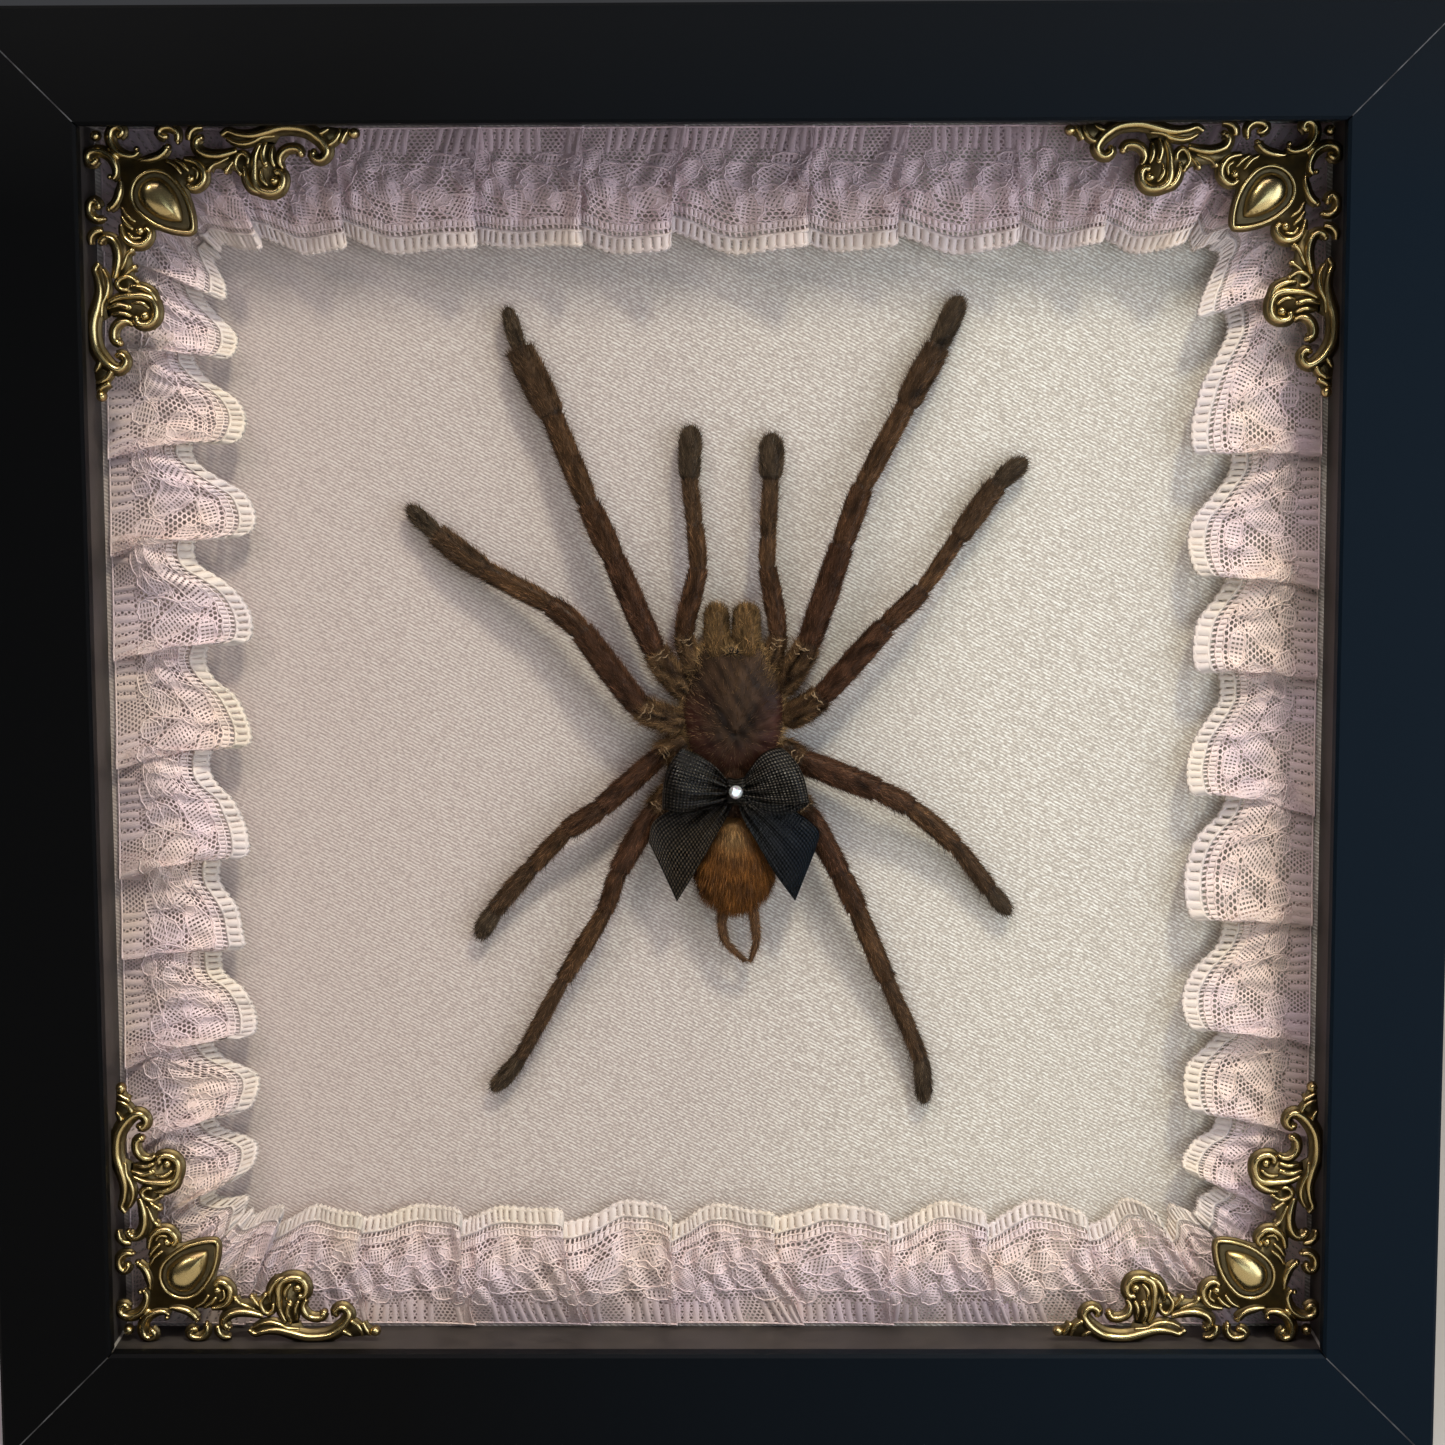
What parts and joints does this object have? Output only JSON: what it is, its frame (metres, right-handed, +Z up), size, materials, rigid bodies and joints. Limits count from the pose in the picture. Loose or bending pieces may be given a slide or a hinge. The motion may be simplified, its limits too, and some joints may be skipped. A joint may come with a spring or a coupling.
{
  "type": "framed tarantula specimen",
  "caption": "Square glazed shadow box holding a dried tarantula with a ribbon bow on satin, edged with ruffled lace and pierced brass corners.",
  "frame": {"origin": "middle of the bottom face of the frame, halfway through its depth", "axes": "+Z up along the frame's height, +X to the viewer's right, +Y from the glass to the back"},
  "size_m": [0.231, 0.03, 0.231],
  "materials": {
    "frame_black": "satin black lacquer",
    "pane": "clear, polished",
    "liner": "dark brown semi-gloss foil",
    "satin": "pink-cream satin",
    "board": "raw greyboard",
    "hardboard": "smooth brown hardboard",
    "plated_steel": "zinc plated",
    "lace": "pale pink nylon lace",
    "antique_brass": "antique, dark in the recesses",
    "spider": "dry chitin with short brown hairs",
    "black_ribbon": "black woven ribbon",
    "cut_stone": "faceted, foil backed"
  },
  "bodies": {
    "root": {"frame_rail_top": "frame_black", "frame_rail_bottom": "frame_black", "frame_rail_left": "frame_black", "frame_rail_right": "frame_black", "glass_pane": "pane", "spacer_top": "liner", "spacer_bottom": "liner", "spacer_left": "liner", "spacer_right": "liner", "satin_sheet": "satin", "backing_board": "board", "rear_panel": "hardboard", "retaining_tab_1": "plated_steel", "retaining_tab_2": "plated_steel", "retaining_tab_3": "plated_steel", "retaining_tab_4": "plated_steel", "retaining_tab_5": "plated_steel", "retaining_tab_6": "plated_steel", "retaining_tab_7": "plated_steel", "retaining_tab_8": "plated_steel", "sawtooth_hanger": "plated_steel", "hanger_nail_left": "plated_steel", "hanger_nail_right": "plated_steel", "lace_top": "lace", "lace_bottom": "lace", "lace_left": "lace", "lace_right": "lace", "corner_filigree_top_left": "antique_brass", "corner_filigree_top_right": "antique_brass", "corner_filigree_bottom_left": "antique_brass", "corner_filigree_bottom_right": "antique_brass", "tarantula": "spider", "ribbon_bow": "black_ribbon", "rhinestone": "cut_stone"}
  },
  "joints": []
}
